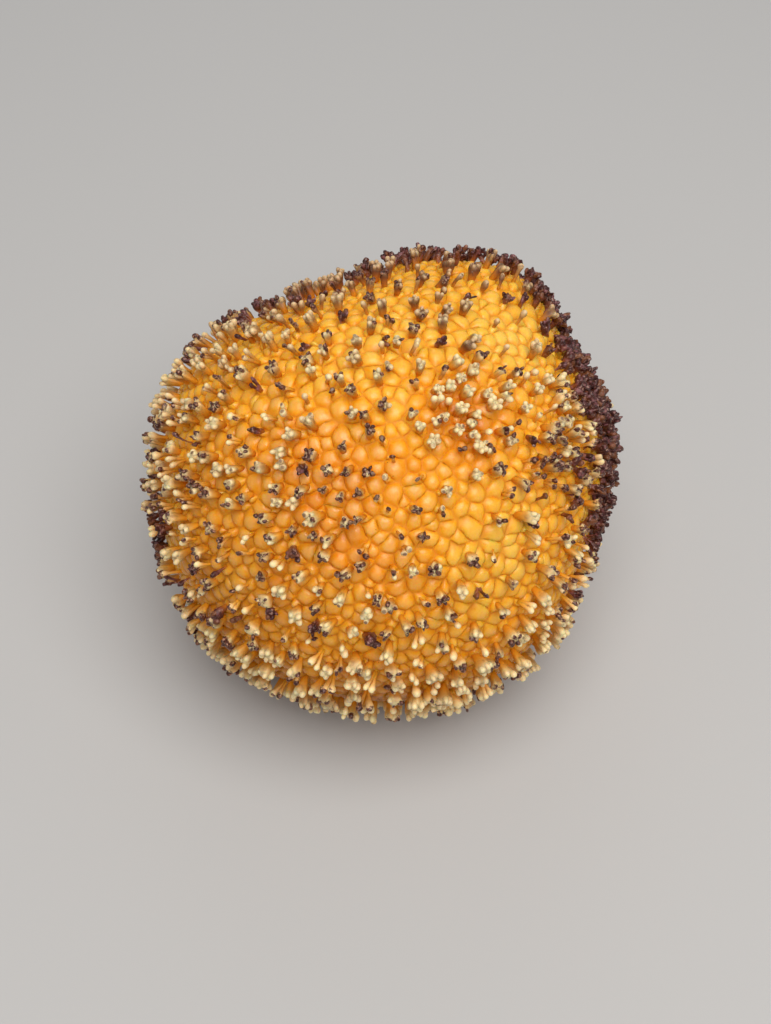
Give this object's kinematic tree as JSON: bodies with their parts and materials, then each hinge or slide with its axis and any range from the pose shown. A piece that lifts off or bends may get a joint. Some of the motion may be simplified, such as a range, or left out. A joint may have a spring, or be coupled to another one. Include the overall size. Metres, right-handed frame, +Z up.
{
  "type": "kadam fruit",
  "caption": "Ripe round fruit head of crowded fleshy domes, covered all over with short club-tipped calyx lobes, resting on a small flat spot.",
  "frame": {"origin": "on the surface that the fruit rests on, under the middle of the head", "axes": "+Z up from the resting surface; the side that shows best looks towards -Y and up; +X to the right as seen from there"},
  "size_m": [0.055, 0.0548, 0.0507],
  "materials": {
    "pulp": "waxy orange fruit flesh",
    "calyx_fresh": "satin cream and tan, fleshy",
    "calyx_dried": "glossy purple-brown, wrinkled"
  },
  "bodies": {
    "root": {"kadam_head": "pulp"}
  },
  "joints": []
}
